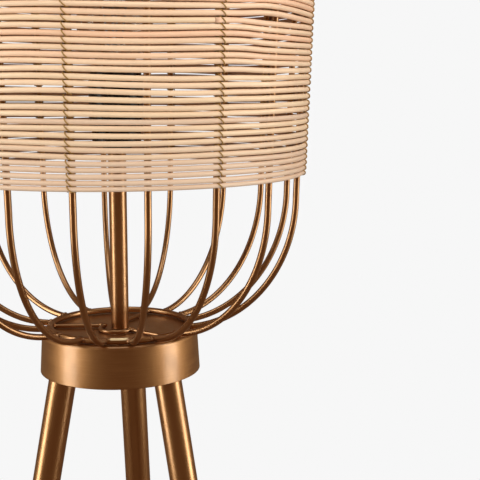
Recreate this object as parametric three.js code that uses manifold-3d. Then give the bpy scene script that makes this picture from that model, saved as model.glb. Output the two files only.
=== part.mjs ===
// Tripod floor lamp: three splayed tube legs, a spun collar, a centre stem with a lamp holder,
// and a drum shade of round canes carried by a bowl-shaped cage of bent wires.
// Millimetres, +Z up. Leg 1 stands at +Y. The origin is on the floor, in the middle of the
// lamp's bounding box, which lies a little behind the lamp's own axis.
// Heights named ...Height or passed to above() are counted from the collar's flat top.
import * as THREE from 'three';
import { mergeVertices } from 'three/addons/utils/BufferGeometryUtils.js';
import Module from 'manifold-3d';

const wasm = await Module();
wasm.setup();

// ---- Driving dimensions -------------------------------------------------------------------

const gap = 0.3;

const lampHeight = 1400;
const shadeHeight = 300;
const shadeLean = 0.04;
const shadeWall = 4.1;

const wireRadius = 2.5;
const bowlDepth = 108;
const bowlWidth = 93;
const bowlCentreRadius = 50;
const bowlToShade = 16;
// The wires were spaced by eye when the cage was welded: the first one's bearing, then the
// step to each next one, in degrees from -Y towards +X.
const firstWireBearing = -20;
const wireSteps = [19, 20, 20, 21, 26, 25, 19, 19, 22, 25, 23, 25, 26, 21, 24];
// How far each wire's bend, shaped by hand, hangs below the ellipse at its middle.
const wireSags = [3.5, 0, 0, 0, 0, 0, 0, 0, 0, 0, 0, 1, 1, 4.5, 5.5, 6.5];

const hoopRadius = 56.1;
// The hub is an open ring of thin rod round the front of the stem's foot. Three spokes tie it
// and the stem's foot to the hoop; each starts at [x, y] from the lamp's axis.
const hubRingRadius = 13.2;
const hubRodRadius = 1.6;
const hubCentre = [-1.2, -9.5];
const hubBearings = [-122, 70];
const spokeRadius = 1.6;
const spokes = [
  { start: [13.3, -15.2], bearing: 58 },
  { start: [-1.2, 8.6], bearing: 161 },
  { start: [-15.3, -1.6], bearing: 277 },
];

const collarHeight = 33;
const collarTopRadius = 62.7;
const collarBottomRadius = 64.7;
const collarEdgeRadius = 2.5;
const sheetThickness = 1.5;
const plateThickness = 4;
const plateRadius = 58;

const stemRadius = 7.15;
const stemBoreRadius = 5.15;
const stemHeight = 143;
const nippleRadius = stemBoreRadius - gap;
const nippleBoreRadius = 3.5;
const washerRadius = 9;
const washerThickness = 1.2;
const nutAcrossFlats = 14;
const nutThickness = 4;

const legCount = 3;
const legRadius = 11;
const legWall = 1.2;
const legSlope = 0.19;
const legRadiusAtCollar = 48.2;
const legTopDepth = 14;
const insertLength = 9;
const studRadius = 4;
const studReach = 6;
const footRadius = 13;
const footLength = 26;
const footFloor = 4.7;

const holderNeckRadius = 11.5;
const holderCapRadius = 19.3;
const holderSkirtRadius = 21.5;
const holderNeckHeight = stemHeight + gap;
const holderCapHeight = 148.5;
const holderFloorHeight = 151.5;
const holderSkirtHeight = 162;
const holderTopHeight = 207.6;
const contactBlockHeight = 154;
const contactShellHeight = 163.3;

const bulbRadius = 30;
const bulbCapRadius = 13.2;
const bulbNeckRadius = 12.3;
const glassWall = 0.8;
const bulbTipHeight = 168.6;
const bulbCentreHeight = 243.5;

const leadRadius = 2;
const grommetHeight = 60;
const grommetBoreRadius = 3.6;
const grommetSleeveRadius = 4.6;
const grommetFlangeRadius = 7.5;
const leadHoleRadius = 3.4;
const leadHoleDepth = 25.4;

// ---- Places worked out from them ----------------------------------------------------------

const wireRadiusAtShade = bowlCentreRadius + bowlWidth + shadeLean * bowlToShade;
const bowlBaseHeight = wireRadius + gap;
const bowlRimHeight = bowlBaseHeight + bowlDepth;
const shadeBottomHeight = bowlRimHeight + bowlToShade;
const shadeTopHeight = shadeBottomHeight + shadeHeight;
const collarTop = lampHeight - shadeTopHeight;
const shadeInnerRadius = wireRadiusAtShade + wireRadius + 2 * gap;
const topHoopHeight = shadeTopHeight - wireRadius - 1;
const plateTopDepth = sheetThickness + gap;
const plateBottomDepth = plateTopDepth + plateThickness;
const washerDepth = plateBottomDepth + gap;
const nutDepth = washerDepth + washerThickness + gap;
const nippleEndDepth = nutDepth + nutThickness + 3;

const legAngle = Math.atan(legSlope);
const legGroundRadius = legRadiusAtCollar + legSlope * (collarTop - collarHeight);
const legTop = (collarTop - legTopDepth) / Math.cos(legAngle);
const legBore = legRadius - legWall;
const shadeTopRadius = shadeInnerRadius + shadeWall + shadeLean * shadeHeight;
const footReach = legGroundRadius + footRadius / Math.cos(legAngle);
const lampAxisY = (shadeTopRadius - footReach) / 2;

function above(height) {
  return collarTop + height;
}

// ---- Materials ----------------------------------------------------------------------------

function finish(color, roughness, metalness) {
  return new THREE.MeshStandardMaterial({ color, roughness, metalness });
}

const brassFinish = finish(0xa5713d, 0.35, 1);
const plainSteel = finish(0x9a9a9a, 0.4, 1);
const nickelFinish = finish(0xc9c4b8, 0.25, 1);
const rattanFinish = finish(0xdcb98f, 0.7, 0);
const blackPlastic = finish(0x0c0b0b, 0.2, 0);
const ceramicFinish = finish(0xe8e4da, 0.5, 0);
const blackRubber = finish(0x1a1a1a, 0.8, 0);
const clearGlass = finish(0xf4f6f5, 0.05, 0);
const filamentYellow = finish(0xe8c060, 0.6, 0);
const leadSheath = finish(0x2b2522, 0.6, 0);

// ---- Geometry helpers ---------------------------------------------------------------------

// A body of revolution about +Z from [radius, z] points, listed anticlockwise.
function lathe(points, segments = 32) {
  const profile = points.map(([radius, z]) => new THREE.Vector2(radius, z));
  return new THREE.LatheGeometry(profile, segments).rotateX(Math.PI / 2);
}

// A plain tube or ring of rectangular section about +Z.
function sleeve(innerRadius, outerRadius, bottom, top, segments = 32) {
  return lathe([
    [innerRadius, bottom],
    [outerRadius, bottom],
    [outerRadius, top],
    [innerRadius, top],
    [innerRadius, bottom],
  ], segments);
}

// A plain round bar about +Z.
function bar(radius, bottom, top, segments = 24) {
  return lathe([[0, bottom], [radius, bottom], [radius, top], [0, top]], segments);
}

// Points of an arc in a profile, in degrees anticlockwise from the outward direction.
function arc(centreRadius, centreZ, radius, from, to, steps) {
  const points = [];
  for (let i = 0; i <= steps; i += 1) {
    const angle = THREE.MathUtils.degToRad(from + ((to - from) * i) / steps);
    points.push([centreRadius + radius * Math.cos(angle), centreZ + radius * Math.sin(angle)]);
  }
  return points;
}

// Steps an extrusion evenly by the curve's parameter, so that its bends get the short steps.
function stepByParameter(curve) {
  curve.getPointAt = (t, target) => curve.getPoint(t, target);
  curve.getTangentAt = (t, target) => curve.getTangent(t, target);
  return curve;
}

// A round rod along a curve.
function rod(curve, radius, steps, sides) {
  const section = new THREE.Shape();
  for (let i = 0; i < sides; i += 1) {
    const angle = (2 * Math.PI * i) / sides;
    const x = radius * Math.cos(angle);
    const y = radius * Math.sin(angle);
    if (i === 0) section.moveTo(x, y);
    else section.lineTo(x, y);
  }
  section.closePath();
  return new THREE.ExtrudeGeometry(section, {
    extrudePath: stepByParameter(curve),
    steps,
    bevelEnabled: false,
  });
}

function toSolid(geometry) {
  const bare = new THREE.BufferGeometry();
  bare.setAttribute('position', geometry.getAttribute('position').clone());
  bare.setIndex(geometry.index);
  const merged = mergeVertices(bare, 1e-4);
  return new wasm.Manifold(new wasm.Mesh({
    numProp: 3,
    vertProperties: new Float32Array(merged.getAttribute('position').array),
    triVerts: new Uint32Array(merged.index.array),
  }));
}

function toGeometry(solid) {
  const mesh = solid.getMesh();
  const geometry = new THREE.BufferGeometry();
  geometry.setAttribute('position', new THREE.BufferAttribute(mesh.vertProperties, 3));
  geometry.setIndex(new THREE.BufferAttribute(mesh.triVerts, 1));
  geometry.computeVertexNormals();
  return geometry;
}

function cut(geometry, ...tools) {
  const solid = tools.reduce((left, tool) => left.subtract(toSolid(tool)), toSolid(geometry));
  return toGeometry(solid);
}

function join(...geometries) {
  const [first, ...others] = geometries.map(toSolid);
  return toGeometry(others.reduce((whole, other) => whole.add(other), first));
}

function part(parent, name, geometry, material) {
  const mesh = new THREE.Mesh(geometry, material);
  mesh.name = name;
  parent.add(mesh);
  return mesh;
}

// Turns +X to a bearing counted in degrees from -Y towards +X.
function turnToBearing(object, bearing) {
  object.rotation.z = THREE.MathUtils.degToRad(bearing - 90);
}

const product = new THREE.Group();
const lamp = new THREE.Group();
lamp.position.y = lampAxisY;
product.add(lamp);

// ---- Legs ---------------------------------------------------------------------------------

// In a leg's own frame +Z runs up the leg's axis from the floor, and +Y points outwards.
function legFrame(index) {
  const turn = new THREE.Group();
  turn.rotation.z = (2 * Math.PI * index) / legCount;
  const tilt = new THREE.Group();
  tilt.position.y = legGroundRadius;
  tilt.rotation.x = legAngle;
  turn.add(tilt);
  lamp.add(turn);
  return tilt;
}

// A large box above or below a level plane, seen from a leg's own frame.
function levelBlock(worldZ, side) {
  const size = 120;
  const block = new THREE.BoxGeometry(size, size, size);
  block.translate(0, 0, worldZ + (side * size) / 2);
  block.rotateX(-legAngle);
  return block;
}

function legTube(carriesLead) {
  const tube = sleeve(legBore, legRadius, footFloor + gap, legTop, 32);
  if (!carriesLead) return tube;
  const entry = new THREE.CylinderGeometry(leadHoleRadius, leadHoleRadius, legRadius, 16);
  entry.translate(0, -legRadius, (collarTop - leadHoleDepth) / Math.cos(legAngle));
  const exitRadius = grommetSleeveRadius + gap;
  const exit = new THREE.CylinderGeometry(exitRadius, exitRadius, legRadius, 16);
  exit.translate(0, legRadius, grommetHeight);
  return cut(tube, entry, exit);
}

function legFoot() {
  const boreRadius = legRadius + gap;
  const boot = lathe([
    [0, -footRadius],
    [footRadius, -footRadius],
    [footRadius, footLength - 1.5],
    [footRadius - 0.8, footLength],
    [boreRadius, footLength],
    [boreRadius, footFloor],
    [0, footFloor],
  ]);
  return cut(boot, levelBlock(0, -1));
}

function legSocket() {
  const undersideZ = plateBottomDepth + gap - legTopDepth;
  const boss = sleeve(studRadius + gap, legBore, legTop + gap, legTop + legTopDepth, 24);
  const plate = levelBlock(0, 1).translate(0, 0, legTop - undersideZ / Math.cos(legAngle));
  return cut(boss, plate);
}

function grommet() {
  const flangeRoot = legRadius - 3;
  const flangeFace = legRadius + 2.2;
  const neckEnd = legRadius - 2.5;
  const neckRoot = legRadius + 1;
  const flange = new THREE.LatheGeometry([
    new THREE.Vector2(grommetBoreRadius, flangeRoot),
    new THREE.Vector2(grommetFlangeRadius, flangeRoot),
    new THREE.Vector2(grommetFlangeRadius, flangeFace - 1),
    new THREE.Vector2(grommetFlangeRadius - 1, flangeFace),
    new THREE.Vector2(grommetBoreRadius, flangeFace),
    new THREE.Vector2(grommetBoreRadius, flangeRoot),
  ], 24);
  const neck = new THREE.LatheGeometry([
    new THREE.Vector2(grommetBoreRadius, neckEnd),
    new THREE.Vector2(grommetSleeveRadius, neckEnd),
    new THREE.Vector2(grommetSleeveRadius, neckRoot),
    new THREE.Vector2(grommetBoreRadius, neckRoot),
    new THREE.Vector2(grommetBoreRadius, neckEnd),
  ], 24);
  const seat = bar(legRadius + gap, -20, 20, 32);
  return join(cut(flange, seat), neck).translate(0, 0, grommetHeight);
}

function addLegs() {
  for (let index = 0; index < legCount; index += 1) {
    const frame = legFrame(index);
    const number = index + 1;
    const insert = sleeve(studRadius + gap, legBore - gap, legTop - insertLength, legTop, 24);
    const stud = bar(studRadius, legTop - insertLength + 1, legTop + studReach, 16);
    part(frame, `leg_${number}`, legTube(index === 0), brassFinish);
    part(frame, `leg_foot_${number}`, legFoot(), blackRubber);
    part(frame, `leg_insert_${number}`, insert, plainSteel);
    part(frame, `leg_stud_${number}`, stud, plainSteel);
    part(frame, `leg_socket_${number}`, legSocket(), plainSteel);
    if (index === 0) part(frame, 'cable_grommet', grommet(), blackRubber);
  }
}

// ---- Collar and what holds the stem in it -------------------------------------------------

function collarShell() {
  const edge = collarEdgeRadius;
  const innerTopRadius = collarTopRadius - sheetThickness;
  const innerEdge = edge - sheetThickness;
  return lathe([
    [stemBoreRadius, above(-sheetThickness)],
    ...arc(innerTopRadius - innerEdge, above(-edge), innerEdge, 90, 0, 3),
    [collarBottomRadius - sheetThickness, above(-collarHeight)],
    [collarBottomRadius, above(-collarHeight)],
    ...arc(collarTopRadius - edge, above(-edge), edge, 0, 90, 4),
    [stemBoreRadius, above(0)],
    [stemBoreRadius, above(-sheetThickness)],
  ], 48);
}

function hexNut() {
  const corner = nutAcrossFlats / Math.sqrt(3);
  const outline = new THREE.Shape();
  for (let i = 0; i < 6; i += 1) {
    const angle = (Math.PI * i) / 3;
    const x = corner * Math.cos(angle);
    const y = corner * Math.sin(angle);
    if (i === 0) outline.moveTo(x, y);
    else outline.lineTo(x, y);
  }
  outline.closePath();
  const hole = new THREE.Path();
  hole.absarc(0, 0, stemBoreRadius, 0, 2 * Math.PI, true);
  outline.holes.push(hole);
  const options = { depth: nutThickness, bevelEnabled: false, curveSegments: 12 };
  return new THREE.ExtrudeGeometry(outline, options);
}

function addCollar() {
  part(lamp, 'collar_shell', collarShell(), brassFinish);
  const plate = sleeve(
    stemBoreRadius, plateRadius, above(-plateBottomDepth), above(-plateTopDepth), 48,
  );
  part(lamp, 'leg_plate', plate, plainSteel);
  const washerTop = above(-washerDepth);
  const washer = sleeve(stemBoreRadius, washerRadius, washerTop - washerThickness, washerTop, 24);
  part(lamp, 'stem_washer', washer, plainSteel);
  const nut = part(lamp, 'stem_nut', hexNut(), plainSteel);
  nut.position.z = above(-nutDepth - nutThickness);
}

// ---- Stem and lamp holder -----------------------------------------------------------------

function addStem() {
  const tube = sleeve(stemBoreRadius, stemRadius, above(gap), above(stemHeight), 32);
  part(lamp, 'stem_tube', tube, brassFinish);
  const lower = sleeve(nippleBoreRadius, nippleRadius, above(-nippleEndDepth), above(12), 24);
  part(lamp, 'stem_nipple', lower, plainSteel);
  const upperBottom = above(stemHeight - 12);
  const upperTop = above(holderFloorHeight - gap);
  const upper = sleeve(nippleBoreRadius, nippleRadius, upperBottom, upperTop, 24);
  part(lamp, 'holder_nipple', upper, plainSteel);
}

// The cap screws on the upper nipple; its thread neck reaches up inside the skirt.
function holderCap() {
  const edge = 1.5;
  const threadRadius = 18.3;
  const threadBottom = above(holderSkirtHeight - 2);
  const threadTop = above(holderSkirtHeight + 6);
  const innerRadius = threadRadius - 1.5;
  return lathe([
    [stemBoreRadius, above(holderNeckHeight)],
    [holderNeckRadius, above(holderNeckHeight)],
    [holderNeckRadius, above(holderCapHeight)],
    ...arc(holderCapRadius - edge, above(holderCapHeight + edge), edge, -90, 0, 3),
    [holderCapRadius, threadBottom],
    [threadRadius, threadBottom],
    [threadRadius, threadTop],
    [innerRadius, threadTop],
    [innerRadius, above(holderFloorHeight)],
    [stemBoreRadius, above(holderFloorHeight)],
    [stemBoreRadius, above(holderNeckHeight)],
  ]);
}

function holderSkirt() {
  const edge = 1.5;
  const threadRadius = 18.6;
  const reliefRadius = threadRadius + 1;
  const reliefBottom = above(holderSkirtHeight + 8);
  const mouthRadius = 17.8;
  return lathe([
    [threadRadius, above(holderSkirtHeight)],
    [holderSkirtRadius, above(holderSkirtHeight)],
    ...arc(holderSkirtRadius - edge, above(holderTopHeight - edge), edge, 0, 90, 3),
    [mouthRadius, above(holderTopHeight)],
    [mouthRadius, above(holderTopHeight - 3)],
    [reliefRadius, above(holderTopHeight - 5)],
    [reliefRadius, reliefBottom],
    [threadRadius, reliefBottom - 0.5],
    [threadRadius, above(holderSkirtHeight)],
  ]);
}

// A springy tongue that rises from the contact block to the middle of the bulb's end.
function centreContact() {
  const foot = contactShellHeight;
  const tongue = new THREE.Shape([
    new THREE.Vector2(-10, foot),
    new THREE.Vector2(-2, foot),
    new THREE.Vector2(3.5, foot + 4.3),
    new THREE.Vector2(3.5, foot + 4.9),
    new THREE.Vector2(-2.4, foot + 0.6),
    new THREE.Vector2(-10, foot + 0.6),
  ]);
  const width = 5;
  const strip = new THREE.ExtrudeGeometry(tongue, { depth: width, bevelEnabled: false });
  return strip.translate(0, 0, -width / 2).rotateX(Math.PI / 2).translate(0, 0, collarTop);
}

function addHolder() {
  part(lamp, 'holder_cap', holderCap(), blackPlastic);
  part(lamp, 'holder_skirt', holderSkirt(), blackPlastic);
  const block = bar(16.3, above(contactBlockHeight), above(contactShellHeight - gap), 32);
  part(lamp, 'contact_block', block, ceramicFinish);
  const shell = sleeve(13.9, 14.5, above(contactShellHeight), above(188));
  part(lamp, 'contact_shell', shell, nickelFinish);
  part(lamp, 'centre_contact', centreContact(), nickelFinish);
}

// ---- Bulb ---------------------------------------------------------------------------------

// The glass outline from the neck to the crown, moved inwards by a wall thickness.
function glassOutline(inset) {
  const shoulderAngle = -35;
  const radius = bulbRadius - inset;
  const crown = arc(0, bulbCentreHeight, radius, shoulderAngle, 90, 9);
  crown[crown.length - 1][0] = 0;
  const [shoulderRadius, shoulderHeight] = crown[0];
  const shoulder = new THREE.QuadraticBezierCurve(
    new THREE.Vector2(bulbNeckRadius - inset, 196),
    new THREE.Vector2(bulbNeckRadius + 1.2 - inset, 210.5),
    new THREE.Vector2(shoulderRadius, shoulderHeight),
  );
  const flare = shoulder.getPoints(4).slice(0, -1).map((point) => [point.x, point.y]);
  return [[bulbNeckRadius - inset, 180], ...flare, ...crown]
    .map(([radiusHere, height]) => [radiusHere, above(height)]);
}

function bulbGlass() {
  return lathe([...glassOutline(glassWall).reverse(), ...glassOutline(0)], 24);
}

function bulbCap() {
  return lathe([
    [0, above(171.5)],
    [5.5, above(171.5)],
    [bulbCapRadius, above(176)],
    [bulbCapRadius, above(195.5)],
    [bulbCapRadius - 0.5, above(195.5)],
    [bulbCapRadius - 0.5, above(177.5)],
    [0, above(177.5)],
  ]);
}

function bulbMount() {
  return lathe([
    [0, above(180.5)],
    [10.5, above(180.5)],
    [10, above(182)],
    [3.2, above(192)],
    [2.4, above(222)],
    [0, above(223.5)],
  ], 16);
}

// Four sloping filament rods between two small spiders.
function bulbFilament() {
  const rodCount = 4;
  const rodLength = 32;
  const lean = 0.13;
  const bottom = above(225);
  const rods = [];
  for (let i = 0; i < rodCount; i += 1) {
    const stick = new THREE.CylinderGeometry(0.9, 0.9, rodLength, 8).rotateX(Math.PI / 2);
    stick.rotateY(lean).translate(7, 0, bottom + rodLength / 2);
    rods.push(stick.rotateZ((2 * Math.PI * i) / rodCount));
  }
  const lowerSpider = bar(6, bottom - 0.6, bottom + 0.6, 12);
  const upperSpider = bar(10, bottom + rodLength - 1.2, bottom + rodLength, 12);
  return join(lowerSpider, upperSpider, ...rods);
}

function addBulb() {
  part(lamp, 'bulb_tip', bar(4.8, above(bulbTipHeight), above(171.2), 16), nickelFinish);
  part(lamp, 'bulb_cap', bulbCap(), nickelFinish);
  part(lamp, 'bulb_glass', bulbGlass(), clearGlass);
  part(lamp, 'bulb_mount', bulbMount(), clearGlass);
  part(lamp, 'bulb_filament', bulbFilament(), filamentYellow);
}

// ---- Cage ---------------------------------------------------------------------------------

// A wire in the XZ plane: a quarter ellipse from the hoop out to the shade's radius, then
// straight up inside the shade to the top hoop.
class CageWire extends THREE.Curve {
  constructor(sag) {
    super();
    this.sag = sag;
    this.bendShare = 0.85;
    this.startAngle = Math.asin((hoopRadius + wireRadius + gap - bowlCentreRadius) / bowlWidth);
    this.straightLength = topHoopHeight - wireRadius - gap - bowlRimHeight;
  }

  getPoint(t, target = new THREE.Vector3()) {
    const bend = Math.min(t / this.bendShare, 1);
    const rise = Math.max((t - this.bendShare) / (1 - this.bendShare), 0) * this.straightLength;
    const angle = THREE.MathUtils.lerp(this.startAngle, Math.PI / 2, bend);
    const radius = bowlCentreRadius + bowlWidth * Math.sin(angle) + shadeLean * rise;
    const bow = this.sag * Math.sin(Math.PI * bend);
    const height = bowlBaseHeight + bowlDepth * (1 - Math.cos(angle)) - bow + rise;
    return target.set(radius, 0, above(height));
  }
}

function hoop(radius, rodRadius, height, segments) {
  return new THREE.TorusGeometry(radius, rodRadius, 8, segments).translate(0, 0, above(height));
}

// The open hub ring, level, just above the collar.
class HubArc extends THREE.Curve {
  getPoint(t, target = new THREE.Vector3()) {
    const [from, to] = hubBearings;
    const bearing = THREE.MathUtils.degToRad(THREE.MathUtils.lerp(from, to, t));
    const x = hubCentre[0] + hubRingRadius * Math.sin(bearing);
    const y = hubCentre[1] - hubRingRadius * Math.cos(bearing);
    return target.set(x, y, above(hubRodRadius + gap));
  }
}

// How far a spoke runs from its start along its bearing before it is a gap short of the hoop.
function spokeLength([x, y], bearing) {
  const angle = THREE.MathUtils.degToRad(bearing);
  const along = x * Math.sin(angle) - y * Math.cos(angle);
  const reach = hoopRadius - wireRadius - gap;
  return Math.sqrt(along ** 2 - x ** 2 - y ** 2 + reach ** 2) - along;
}

function addCage() {
  part(lamp, 'bottom_hoop', hoop(hoopRadius, wireRadius, bowlBaseHeight, 48), brassFinish);
  part(lamp, 'hub_ring', rod(new HubArc(), hubRodRadius, 16, 8), brassFinish);

  spokes.forEach(({ start, bearing }, i) => {
    const length = spokeLength(start, bearing);
    const spoke = bar(spokeRadius, 0, length, 8).rotateY(Math.PI / 2);
    const mesh = part(lamp, `spoke_${i + 1}`, spoke, brassFinish);
    turnToBearing(mesh, bearing);
    mesh.position.set(start[0], start[1], above(spokeRadius + gap));
  });

  let bearing = firstWireBearing;
  [0, ...wireSteps].forEach((step, i) => {
    bearing += step;
    const name = `cage_wire_${String(i + 1).padStart(2, '0')}`;
    const wire = rod(new CageWire(wireSags[i]), wireRadius, 14, 8);
    turnToBearing(part(lamp, name, wire, brassFinish), bearing);
  });

  const topHoopRadius = wireRadiusAtShade + shadeLean * (topHoopHeight - shadeBottomHeight);
  part(lamp, 'top_hoop', hoop(topHoopRadius, wireRadius, topHoopHeight, 48), brassFinish);
}

// ---- Shade --------------------------------------------------------------------------------

function addShade() {
  const drum = lathe([
    [shadeInnerRadius, above(shadeBottomHeight)],
    [shadeInnerRadius + shadeWall, above(shadeBottomHeight)],
    [shadeTopRadius, above(shadeTopHeight)],
    [shadeTopRadius - shadeWall, above(shadeTopHeight)],
    [shadeInnerRadius, above(shadeBottomHeight)],
  ], 72);
  part(lamp, 'rattan_shade', drum, rattanFinish);
}

// ---- Lead ---------------------------------------------------------------------------------

// The lead runs down the stem, bends under the leg plate into leg 1 and ends in its grommet.
function addLead() {
  const inLamp = (y, height) => new THREE.Vector3(0, y, above(height));
  const inLeg = (y, z) => new THREE.Vector3(0, y, z)
    .applyAxisAngle(new THREE.Vector3(1, 0, 0), legAngle)
    .add(new THREE.Vector3(0, legGroundRadius, 0));
  const route = new THREE.CatmullRomCurve3([
    inLamp(0, 153.5),
    inLamp(0, 80),
    inLamp(0, 0),
    inLamp(0, -13),
    inLamp(1.2, -17.5),
    inLamp(5.5, -22),
    inLamp(13, -24.5),
    inLamp(22, -25.6),
    inLamp(31, -26.6),
    inLamp(38, -28.2),
    inLamp(43.8, -32),
    inLamp(47.6, -38),
    inLamp(49.8, -46),
    inLeg(0, 880),
    inLeg(0, 500),
    inLeg(0, 150),
    inLeg(0, 90),
    inLeg(0.6, 77),
    inLeg(2.6, 68),
    inLeg(5.6, 62.2),
    inLeg(8.8, 60.3),
    inLeg(12.6, 60),
  ], false, 'centripetal');
  part(lamp, 'inner_lead', rod(route, leadRadius, 42, 8), leadSheath);
}

addLegs();
addCollar();
addStem();
addHolder();
addBulb();
addCage();
addShade();
addLead();

export default product;
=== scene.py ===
"""Looks of the tripod floor lamp with a rattan drum shade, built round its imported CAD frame."""

import math
import random

import bmesh
import bpy
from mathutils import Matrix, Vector


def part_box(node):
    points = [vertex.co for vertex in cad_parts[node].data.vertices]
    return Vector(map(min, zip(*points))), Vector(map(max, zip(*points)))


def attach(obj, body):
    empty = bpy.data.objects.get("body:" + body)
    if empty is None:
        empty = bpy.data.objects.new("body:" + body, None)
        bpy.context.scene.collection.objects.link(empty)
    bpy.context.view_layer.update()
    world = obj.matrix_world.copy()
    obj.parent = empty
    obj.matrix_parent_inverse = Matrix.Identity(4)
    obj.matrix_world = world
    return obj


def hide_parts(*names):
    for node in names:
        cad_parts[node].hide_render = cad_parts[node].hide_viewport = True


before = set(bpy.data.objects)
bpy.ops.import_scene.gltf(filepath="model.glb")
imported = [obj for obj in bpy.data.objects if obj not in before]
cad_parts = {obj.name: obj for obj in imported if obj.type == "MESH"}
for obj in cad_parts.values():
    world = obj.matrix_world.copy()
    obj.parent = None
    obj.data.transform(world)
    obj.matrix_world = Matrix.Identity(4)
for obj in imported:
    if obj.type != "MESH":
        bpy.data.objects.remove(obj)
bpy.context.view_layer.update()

MM = 0.001
TURN = 2 * math.pi
UP = Vector((0, 0, 1))
draw = random.Random(41)

# ---------------------------------------------------------------- places taken from the CAD

collar_low, collar_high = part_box("collar_shell")
shade_low, shade_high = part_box("rattan_shade")
AXIS = Vector(((collar_low.x + collar_high.x) / 2, (collar_low.y + collar_high.y) / 2, 0))
COLLAR_TOP = collar_high.z
COLLAR_FOOT_RADIUS = (collar_high.x - collar_low.x) / 2

# ---------------------------------------------------------------- camera

CAMERA_BEARING = math.radians(11)
CAMERA_DISTANCE = 0.8395
CAMERA_ABOVE_COLLAR = 0.2016
CAMERA_TILT_DOWN = math.radians(8.805)
CAMERA_TURN = math.radians(4.31)
CAMERA_SENSOR = 36
CAMERA_LENS = 78.57


def make_camera():
    camera = bpy.data.objects.new("camera", bpy.data.cameras.new("camera"))
    bpy.context.scene.collection.objects.link(camera)
    camera.location = AXIS + Vector((
        CAMERA_DISTANCE * math.sin(CAMERA_BEARING),
        -CAMERA_DISTANCE * math.cos(CAMERA_BEARING),
        COLLAR_TOP + CAMERA_ABOVE_COLLAR,
    ))
    camera.rotation_euler = (math.pi / 2 - CAMERA_TILT_DOWN, 0, CAMERA_TURN)
    camera.data.sensor_width = CAMERA_SENSOR
    camera.data.lens = CAMERA_LENS
    bpy.context.scene.camera = camera


make_camera()

# ---------------------------------------------------------------- materials


class Look:
    """A procedural material under construction."""

    def __init__(self, name, **sockets):
        self.material = bpy.data.materials.new(name)
        self.material.use_nodes = True
        self.tree = self.material.node_tree
        self.shader = self.tree.nodes["Principled BSDF"]
        for socket, value in sockets.items():
            self.shader.inputs[socket.replace("_", " ")].default_value = value

    def feed(self, target, value):
        """Sets an input socket to a value, or links another node's output to it."""
        if isinstance(value, bpy.types.NodeSocket):
            self.tree.links.new(value, target)
        else:
            target.default_value = value

    def add(self, kind, inputs, **settings):
        """Adds a node and returns its first output."""
        made = self.tree.nodes.new("ShaderNode" + kind)
        for setting, value in settings.items():
            setattr(made, setting, value)
        for socket, value in inputs.items():
            self.feed(made.inputs[socket], value)
        return made.outputs[0]

    def grain_place(self, slow, fine):
        """Place on the surface in metres, scaled along the grain by slow and across it by fine."""
        place = self.add("UVMap", {}, uv_map="grain")
        return self.add("VectorMath", {0: place, 1: (slow, fine, 1)}, operation="MULTIPLY")

    def object_place(self):
        made = self.tree.nodes.new("ShaderNodeTexCoord")
        return made.outputs["Object"]

    def noise(self, place, scale, detail=2.0):
        return self.add("TexNoise", {"Vector": place, "Scale": scale, "Detail": detail})

    def math(self, operation, first, second):
        return self.add("Math", {0: first, 1: second}, operation=operation)

    def spread(self, value, low, high, start=0.3, end=0.7):
        """Stretches the range start..end of a noise to low..high."""
        inputs = {"Value": value, "From Min": start, "From Max": end, "To Min": low, "To Max": high}
        return self.add("MapRange", inputs)

    def mix(self, factor, first, second, blend="MIX"):
        made = self.tree.nodes.new("ShaderNodeMix")
        made.data_type = "RGBA"
        made.blend_type = blend
        self.feed(made.inputs["Factor"], factor)
        self.feed(made.inputs["A"], first)
        self.feed(made.inputs["B"], second)
        return made.outputs["Result"]

    def bump(self, height, distance, strength):
        return self.add("Bump", {"Height": height, "Distance": distance, "Strength": strength})

    def paint(self, socket, value):
        self.feed(self.shader.inputs[socket], value)


def brushed_metal(name, light, dark, roughness, brushing=1.0, fineness=5200, **sockets):
    """Satin metal: streaks along the grain, and soft stains where the lacquer varies."""
    look = Look(name, **{"Metallic": 1.0, **sockets})
    streaks = look.noise(look.grain_place(30, fineness), 1.0, 3.0)
    stains = look.noise(look.object_place(), 60.0, 4.0)
    shade = look.math("MULTIPLY", look.spread(streaks, 0.55, 1.0), look.spread(stains, 0.6, 1.0))
    look.paint("Base Color", look.mix(shade, (*dark, 1), (*light, 1)))
    worn = look.spread(stains, roughness * 1.1, roughness * 0.9)
    look.paint("Roughness", look.math("MULTIPLY", look.spread(streaks, 0.88, 1.12), worn))
    look.paint("Normal", look.bump(streaks, 0.00002 * brushing, 0.6))
    return look.material


def plain_finish(name, light, dark, roughness, scale, bump, **sockets):
    """A cast, moulded or plated finish: mottled colour and gloss with a fine skin."""
    look = Look(name, **sockets)
    place = look.object_place()
    patches = look.noise(place, scale, 3.0)
    skin = look.noise(place, scale * 14, 2.0)
    look.paint("Base Color", look.mix(look.spread(patches, 0, 1), (*dark, 1), (*light, 1)))
    look.paint("Roughness", look.spread(patches, roughness * 0.85, roughness * 1.15))
    look.paint("Normal", look.bump(skin, bump, 0.5))
    return look.material


CANE = 1.96 * MM
CANE_TONES = (
    (0.0, (0.74, 0.54, 0.38)),
    (0.3, (0.93, 0.69, 0.43)),
    (0.55, (0.97, 0.70, 0.46)),
    (0.8, (0.97, 0.59, 0.37)),
    (1.0, (0.30, 0.12, 0.06)),
)


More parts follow.
